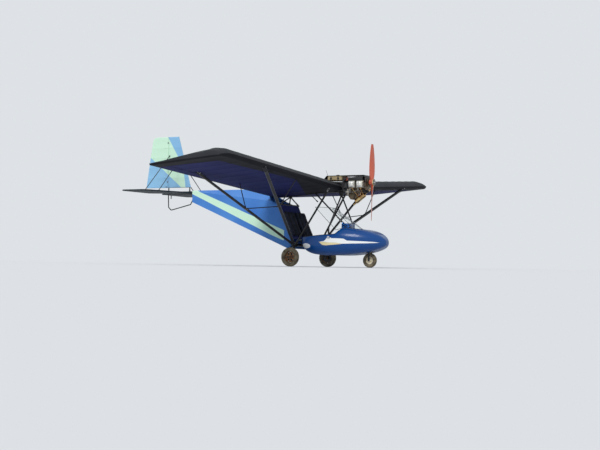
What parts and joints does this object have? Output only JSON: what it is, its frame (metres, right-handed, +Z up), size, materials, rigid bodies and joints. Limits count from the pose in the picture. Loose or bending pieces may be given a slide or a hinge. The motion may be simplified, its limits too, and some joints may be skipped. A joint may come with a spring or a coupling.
{
  "type": "two-seat high-wing microlight aircraft",
  "caption": "Open-cockpit microlight aircraft with a blue pod, strutted high wing, tractor propeller, boom with fabric rear fuselage and nose-wheel gear.",
  "frame": {"origin": "on the ground under the middle of the aircraft's length and span", "axes": "+X to the nose, +Y to the left wing tip, +Z up"},
  "size_m": [5.88, 8.9, 2.794],
  "materials": {
    "pod_blue": "gloss",
    "screen": "clear",
    "seat_cloth": "woven",
    "navy_cloth": "woven",
    "cover_cloth": "taut cloth",
    "wing_cloth": "taut cloth",
    "tail_cloth": "taut cloth",
    "dark_tail_cloth": "taut cloth",
    "black_cover": "satin",
    "black_tube": "painted satin",
    "tyre": "dusty",
    "dark_hub": "painted",
    "cream_hub": "painted",
    "engine_metal": "cast",
    "exhaust_metal": "heat tinted",
    "tank_plastic": "satin",
    "box_paint": "satin",
    "blade_wood": "varnished",
    "flange_metal": "turned"
  },
  "bodies": {
    "airframe": {"pod": "pod_blue", "console": "pod_blue", "windscreen": "screen", "seat_pan": "black_tube", "squab_left": "seat_cloth", "squab_right": "seat_cloth", "backrest_left": "seat_cloth", "backrest_right": "seat_cloth", "seat_back": "navy_cloth", "seat_back_stays": "black_tube", "rear_cover": "cover_cloth", "boom": "black_tube", "wing_left": "wing_cloth", "wing_right": "wing_cloth", "wing_fairing": "black_cover", "front_struts": "black_tube", "rear_struts": "black_tube", "jury_struts": "black_tube", "cabane_front": "black_tube", "cabane_side": "black_tube", "cabane_centre": "black_tube", "gear_frame": "black_tube", "keel": "black_tube", "gear_legs": "black_tube", "engine_block": "engine_metal", "engine_cylinders": "engine_metal", "engine_mount": "black_tube", "exhaust": "exhaust_metal", "engine_cowl": "black_cover", "fuel_tank": "tank_plastic", "air_box": "box_paint", "fin": "tail_cloth", "stabiliser": "dark_tail_cloth", "tail_struts": "black_tube", "tail_bumper": "black_tube"},
    "propeller": {"propeller": "blade_wood", "propeller_flange": "flange_metal"},
    "main_wheel_left": {"main_tyre_left": "tyre", "main_hub_left": "dark_hub"},
    "main_wheel_right": {"main_tyre_right": "tyre", "main_hub_right": "dark_hub"},
    "nose_fork": {"nose_fork": "black_tube"},
    "nose_wheel": {"nose_tyre": "tyre", "nose_hub": "cream_hub"},
    "rudder": {"rudder": "tail_cloth"},
    "elevator": {"elevator": "dark_tail_cloth"},
    "aileron_left": {"aileron_left": "wing_cloth"},
    "aileron_right": {"aileron_right": "wing_cloth"}
  },
  "joints": [
    {"name": "propeller_spin", "type": "hinge", "parent": "airframe", "child": "propeller", "pos_m": [2.58, 0, 1.7], "axis": [1, 0, 0], "continuous": true},
    {"name": "main_wheel_left_spin", "type": "hinge", "parent": "airframe", "child": "main_wheel_left", "pos_m": [1.194, 0.808, 0.19], "axis": [0, 1, 0], "continuous": true},
    {"name": "main_wheel_right_spin", "type": "hinge", "parent": "airframe", "child": "main_wheel_right", "pos_m": [1.194, -0.808, 0.19], "axis": [0, 1, 0], "continuous": true},
    {"name": "nose_steer", "type": "hinge", "parent": "airframe", "child": "nose_fork", "pos_m": [2.561, 0, 0.4], "axis": [0, 0, 1], "range_deg": [-28, 28]},
    {"name": "nose_wheel_spin", "type": "hinge", "parent": "nose_fork", "child": "nose_wheel", "pos_m": [2.561, 0, 0.145], "axis": [0, 1, 0], "continuous": true},
    {"name": "rudder_hinge", "type": "hinge", "parent": "airframe", "child": "rudder", "pos_m": [-2.37, 0, 2.2], "axis": [0, 0, 1], "range_deg": [-25, 25]},
    {"name": "elevator_hinge", "type": "hinge", "parent": "airframe", "child": "elevator", "pos_m": [-2.306, 0, 1.556], "axis": [0, 1, 0], "range_deg": [-20, 20]},
    {"name": "aileron_left_hinge", "type": "hinge", "parent": "airframe", "child": "aileron_left", "pos_m": [0.63854, 3.57996, 1.71283], "axis": [0, 0.9974, 0.0715], "range_deg": [-18, 18]},
    {"name": "aileron_right_hinge", "type": "hinge", "parent": "airframe", "child": "aileron_right", "pos_m": [0.63854, -3.57996, 1.71283], "axis": [0, 0.9974, -0.0715], "range_deg": [-18, 18]}
  ],
  "couplings": [
    {"joint": "aileron_right_hinge", "follows": "aileron_left_hinge", "ratio": -1}
  ]
}
